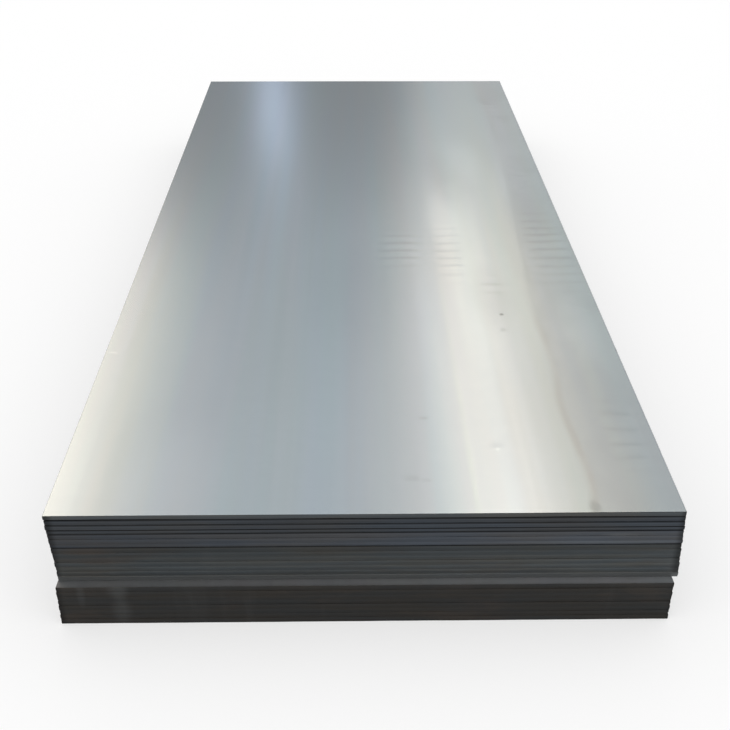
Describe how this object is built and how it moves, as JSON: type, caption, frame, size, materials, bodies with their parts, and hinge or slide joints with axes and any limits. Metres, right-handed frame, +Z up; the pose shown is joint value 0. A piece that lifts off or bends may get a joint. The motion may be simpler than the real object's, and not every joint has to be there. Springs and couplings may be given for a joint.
{
  "type": "stack of steel plates",
  "caption": "Stack of flat rolled steel plates with sheared edges, laid flush in lifts, the bottom lift standing out in front as a narrow ledge.",
  "frame": {"origin": "on the floor, under the middle of the stack", "axes": "+Z up; +Y along the plates' length and rolling direction, away from the end with the ledge; +X across their width"},
  "size_m": [1.2579, 3.0208, 0.264],
  "materials": {
    "bottom_lift_steel": "bright rolled faces, sheared edges dark brown with age and dirt",
    "middle_lift_steel": "bright rolled faces, sheared edges dark grey with brown stains",
    "upper_lift_steel": "bright rolled faces, sheared edges bluish grey",
    "loose_lift_steel": "bright rolled faces with lengthwise streaks, sheared edges grey"
  },
  "bodies": {
    "root": {"bottom_plate_1": "bottom_lift_steel", "bottom_plate_2": "bottom_lift_steel", "bottom_plate_3": "bottom_lift_steel", "bottom_plate_4": "bottom_lift_steel", "bottom_plate_5": "bottom_lift_steel", "bottom_plate_6": "bottom_lift_steel", "bottom_plate_7": "bottom_lift_steel", "bottom_plate_8": "bottom_lift_steel", "middle_plate_1": "middle_lift_steel", "middle_plate_2": "middle_lift_steel", "middle_plate_3": "middle_lift_steel", "middle_plate_4": "middle_lift_steel", "middle_plate_5": "middle_lift_steel", "middle_plate_6": "middle_lift_steel", "middle_plate_7": "middle_lift_steel", "upper_plate_1": "upper_lift_steel", "upper_plate_2": "upper_lift_steel", "upper_plate_3": "upper_lift_steel", "loose_plate_1": "loose_lift_steel", "loose_plate_2": "loose_lift_steel", "loose_plate_3": "loose_lift_steel", "loose_plate_4": "loose_lift_steel"}
  },
  "joints": []
}
